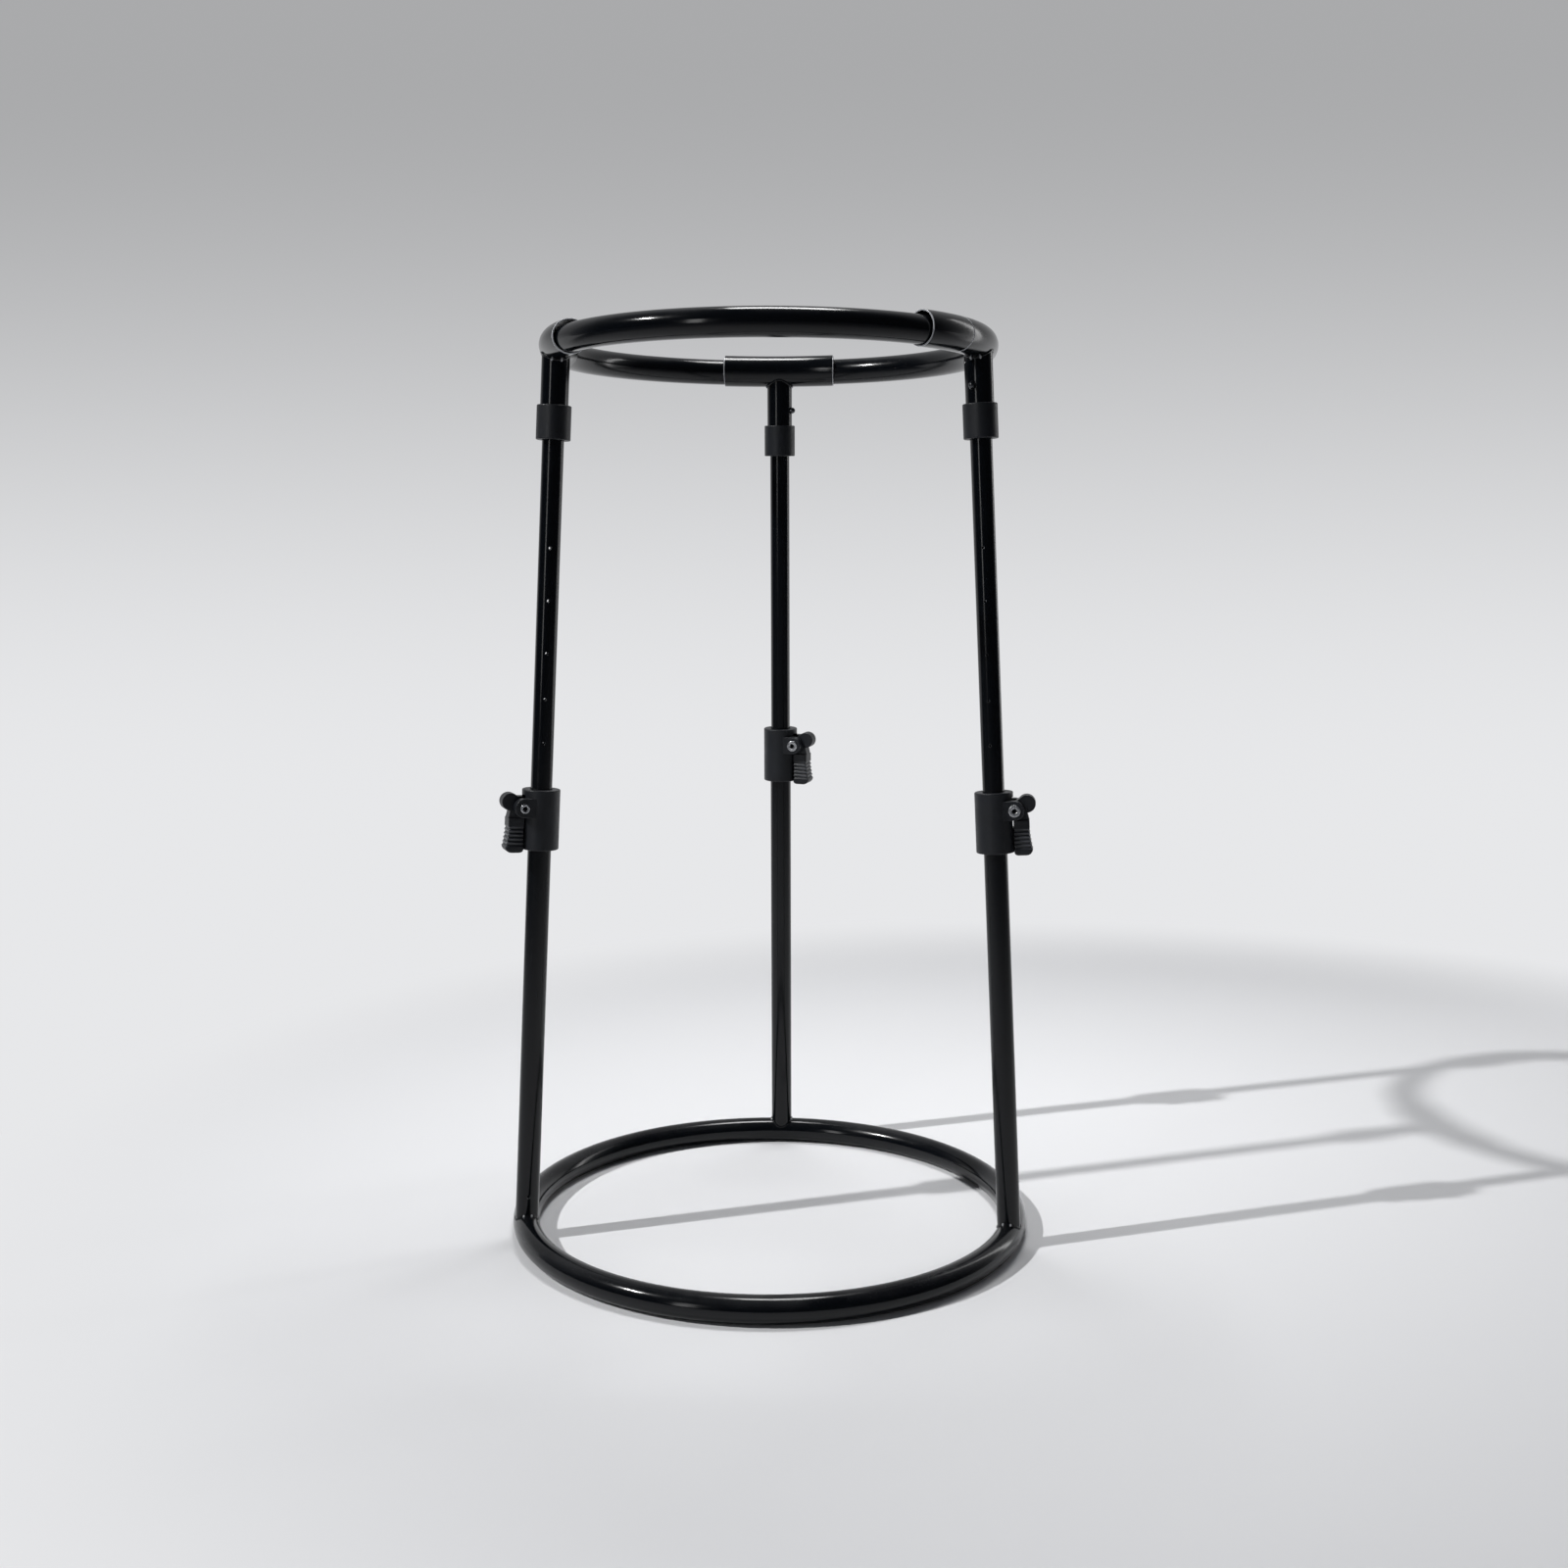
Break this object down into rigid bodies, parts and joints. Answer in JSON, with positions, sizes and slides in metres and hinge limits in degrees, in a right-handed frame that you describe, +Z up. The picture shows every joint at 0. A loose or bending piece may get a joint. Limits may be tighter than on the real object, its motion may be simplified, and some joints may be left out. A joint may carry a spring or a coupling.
{
  "type": "adjustable drum stand",
  "caption": "Drum stand: a tube ring at the base and one at the top, joined by telescopic legs that lock with lever clamps, gloss black.",
  "frame": {"origin": "on the floor, under the centre of the base ring", "axes": "+Z up along the stand, +Y towards the rear leg, +X to the right seen from the front"},
  "size_m": [0.508, 0.508, 0.8681],
  "materials": {
    "gloss_black": "gloss",
    "black_plastic": "satin",
    "zinc": "satin",
    "nylon": "matte",
    "spring_steel": "satin"
  },
  "bodies": {
    "base": {"base_ring": "gloss_black"},
    "ring": {"top_ring": "gloss_black", "ring_splice_sleeve": "gloss_black", "ring_tee_rear": "gloss_black", "ring_tee_right": "gloss_black", "ring_tee_left": "gloss_black"},
    "lower_leg_rear": {"lower_tube_rear": "gloss_black", "clamp_body_rear": "black_plastic", "lever_pin_rear": "zinc", "clamp_pad_rear": "nylon"},
    "lever_rear": {"clamp_lever_rear": "black_plastic"},
    "upper_leg_rear": {"upper_tube_rear": "gloss_black", "tube_end_plug_rear": "nylon", "leg_collar_rear": "black_plastic", "button_spring_rear": "spring_steel"},
    "button_rear": {"snap_button_rear": "zinc"},
    "lower_leg_right": {"lower_tube_right": "gloss_black", "clamp_body_right": "black_plastic", "lever_pin_right": "zinc", "clamp_pad_right": "nylon"},
    "lever_right": {"clamp_lever_right": "black_plastic"},
    "upper_leg_right": {"upper_tube_right": "gloss_black", "tube_end_plug_right": "nylon", "leg_collar_right": "black_plastic", "button_spring_right": "spring_steel"},
    "button_right": {"snap_button_right": "zinc"},
    "lower_leg_left": {"lower_tube_left": "gloss_black", "clamp_body_left": "black_plastic", "lever_pin_left": "zinc", "clamp_pad_left": "nylon"},
    "lever_left": {"clamp_lever_left": "black_plastic"},
    "upper_leg_left": {"upper_tube_left": "gloss_black", "tube_end_plug_left": "nylon", "leg_collar_left": "black_plastic", "button_spring_left": "spring_steel"},
    "button_left": {"snap_button_left": "zinc"}
  },
  "joints": [
    {"name": "ring_height", "type": "slide", "parent": "base", "child": "ring", "axis": [0, 0, 1], "range_m": [-0.19, 0]},
    {"name": "leg_give_rear", "type": "hinge", "parent": "base", "child": "lower_leg_rear", "pos_m": [0, 0.2413, 0.0127], "axis": [1, 0, 0], "range_deg": [0, 1]},
    {"name": "leg_extension_rear", "type": "slide", "parent": "lower_leg_rear", "child": "upper_leg_rear", "axis": [0, -0.0507, 0.9987], "range_m": [-0.19, 0]},
    {"name": "lever_rear", "type": "hinge", "parent": "lower_leg_rear", "child": "lever_rear", "pos_m": [0.01817, 0.21322, 0.45655], "axis": [-0.2924, -0.9551, -0.0485], "range_deg": [0, 28]},
    {"name": "snap_button_rear", "type": "slide", "parent": "upper_leg_rear", "child": "button_rear", "axis": [-0.9511, 0.3086, 0.0157], "range_m": [0, 0.0046], "stiffness_N_per_m": 600, "springref_m": -0.002},
    {"name": "leg_give_right", "type": "hinge", "parent": "base", "child": "lower_leg_right", "pos_m": [0.23393, -0.05919, 0.0127], "axis": [-0.2453, -0.9694, 0], "range_deg": [0, 1]},
    {"name": "leg_extension_right", "type": "slide", "parent": "lower_leg_right", "child": "upper_leg_right", "axis": [-0.0491, 0.0124, 0.9987], "range_m": [-0.19, 0]},
    {"name": "lever_right", "type": "hinge", "parent": "lower_leg_right", "child": "lever_right", "pos_m": [0.23259, -0.05596, 0.42482], "axis": [-0.0995, -0.995, 0.0075], "range_deg": [0, 28]},
    {"name": "snap_button_right", "type": "slide", "parent": "upper_leg_right", "child": "button_right", "axis": [0.5325, 0.8463, 0.0157], "range_m": [0, 0.0046], "stiffness_N_per_m": 600, "springref_m": -0.002},
    {"name": "leg_give_left", "type": "hinge", "parent": "base", "child": "lower_leg_left", "pos_m": [-0.23393, -0.05919, 0.0127], "axis": [-0.2453, 0.9694, 0], "range_deg": [0, 1]},
    {"name": "leg_extension_left", "type": "slide", "parent": "lower_leg_left", "child": "upper_leg_left", "axis": [0.0491, 0.0124, 0.9987], "range_m": [-0.19, 0]},
    {"name": "lever_left", "type": "hinge", "parent": "lower_leg_left", "child": "lever_left", "pos_m": [-0.23087, -0.06216, 0.42482], "axis": [-0.4255, 0.9049, 0.0097], "range_deg": [0, 28]},
    {"name": "snap_button_left", "type": "slide", "parent": "upper_leg_left", "child": "button_left", "axis": [-0.0659, -0.9977, 0.0157], "range_m": [0, 0.0046], "stiffness_N_per_m": 600, "springref_m": -0.002}
  ],
  "couplings": [
    {"joint": "leg_give_rear", "follows": "ring_height", "rad_per_m": -0.081709},
    {"joint": "leg_extension_rear", "follows": "ring_height", "ratio": 0.99832},
    {"joint": "leg_give_right", "follows": "ring_height", "rad_per_m": -0.081709},
    {"joint": "leg_extension_right", "follows": "ring_height", "ratio": 0.99832},
    {"joint": "leg_give_left", "follows": "ring_height", "rad_per_m": -0.081709},
    {"joint": "leg_extension_left", "follows": "ring_height", "ratio": 0.99832}
  ]
}
